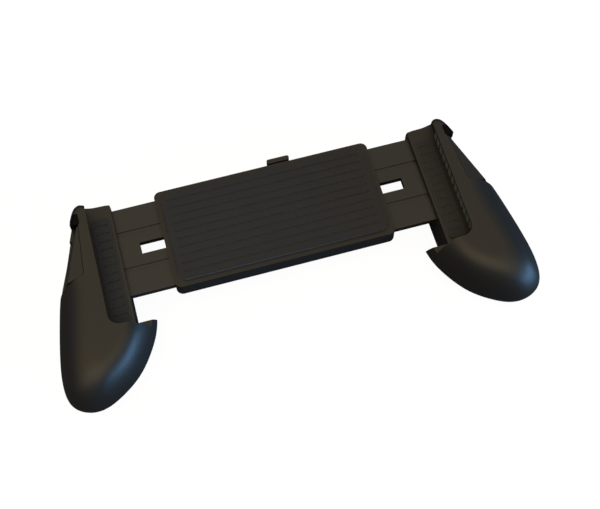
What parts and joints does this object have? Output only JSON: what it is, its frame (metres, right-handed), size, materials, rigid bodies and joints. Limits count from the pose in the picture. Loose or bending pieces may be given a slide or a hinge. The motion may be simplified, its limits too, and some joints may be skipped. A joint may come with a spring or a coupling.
{
  "type": "phone game grip",
  "caption": "Telescoping game grip that clamps a phone between its handles, with fold-out flank levers, a rack and pinion in its centre and a release button",
  "frame": {"origin": "under the middle of the whole grip, on the plane that it lies on", "axes": "+X along the phone, towards the right handle; +Y towards the phone's upper long edge; +Z out of the phone's screen"},
  "size_m": [0.2112, 0.0948, 0.0315],
  "materials": {
    "face_plastic": "satin soft-touch coat, warm near-black",
    "back_plastic": "fine spark-eroded texture, near-black",
    "lever_plastic": "satin soft-touch coat, warm near-black",
    "cap_plastic": "polished black",
    "pin_steel": "ground steel",
    "spring_steel": "rolled spring steel",
    "screw_steel": "black zinc, cross recess",
    "grip_rubber": "matte silicone with shallow grooves",
    "slider_plastic": "smooth black acetal",
    "housing_plastic": "fine spark-eroded texture, near-black",
    "gear_plastic": "natural white acetal",
    "lock_plastic": "dark grey acetal",
    "brake_rubber": "firm black rubber",
    "button_plastic": "satin black"
  },
  "bodies": {
    "centre": {"housing_tray": "housing_plastic", "housing_cover": "housing_plastic", "housing_screws": "screw_steel", "centre_pad": "grip_rubber", "pinion_axle": "pin_steel", "lock_pin": "pin_steel", "lock_spring": "spring_steel"},
    "pinion": {"pinion": "gear_plastic"},
    "lock": {"lock_lever": "lock_plastic", "brake_pad": "brake_rubber"},
    "button": {"release_button": "button_plastic"},
    "left_side": {"left_slider": "slider_plastic", "left_front_shell": "face_plastic", "left_rear_shell": "back_plastic", "left_hinge_cap": "cap_plastic", "left_hinge_pin": "pin_steel", "left_friction_washer": "spring_steel", "left_jaw_pad": "grip_rubber", "left_bay_pad": "grip_rubber", "left_slider_screws": "screw_steel", "left_shell_screws": "screw_steel"},
    "left_lever": {"left_trigger_lever": "lever_plastic"},
    "right_side": {"right_slider": "slider_plastic", "right_front_shell": "face_plastic", "right_rear_shell": "back_plastic", "right_hinge_cap": "cap_plastic", "right_hinge_pin": "pin_steel", "right_friction_washer": "spring_steel", "right_jaw_pad": "grip_rubber", "right_bay_pad": "grip_rubber", "right_slider_screws": "screw_steel", "right_shell_screws": "screw_steel"},
    "right_lever": {"right_trigger_lever": "lever_plastic"}
  },
  "joints": [
    {"name": "left_slide", "type": "slide", "parent": "centre", "child": "left_side", "axis": [-1, 0, 0], "range_m": [-0.012, 0.0065]},
    {"name": "right_slide", "type": "slide", "parent": "centre", "child": "right_side", "axis": [1, 0, 0], "range_m": [-0.012, 0.0065]},
    {"name": "pinion_turn", "type": "hinge", "parent": "centre", "child": "pinion", "pos_m": [0, 0.0196, 0.017], "axis": [0, 0, 1], "range_deg": [-86.2, 46.8]},
    {"name": "button_push", "type": "slide", "parent": "centre", "child": "button", "axis": [0, -1, 0], "range_m": [0, 0.0012], "stiffness_N_per_m": 120, "springref_m": -0.002},
    {"name": "lock_tilt", "type": "hinge", "parent": "centre", "child": "lock", "pos_m": [0, 0.0385, 0.017], "axis": [0, 0, 1], "range_deg": [-7.8, 0], "deforming": ["lock_spring"]},
    {"name": "left_lever_swing", "type": "hinge", "parent": "left_side", "child": "left_lever", "pos_m": [-0.086, 0.0342, 0.022], "axis": [0, 0, -1], "range_deg": [0, 90]},
    {"name": "right_lever_swing", "type": "hinge", "parent": "right_side", "child": "right_lever", "pos_m": [0.086, 0.0342, 0.022], "axis": [0, 0, 1], "range_deg": [0, 90]}
  ],
  "couplings": [
    {"joint": "right_slide", "follows": "left_slide", "ratio": 1},
    {"joint": "pinion_turn", "follows": "left_slide", "rad_per_m": 125},
    {"joint": "lock_tilt", "follows": "button_push", "rad_per_m": -111.11}
  ]
}
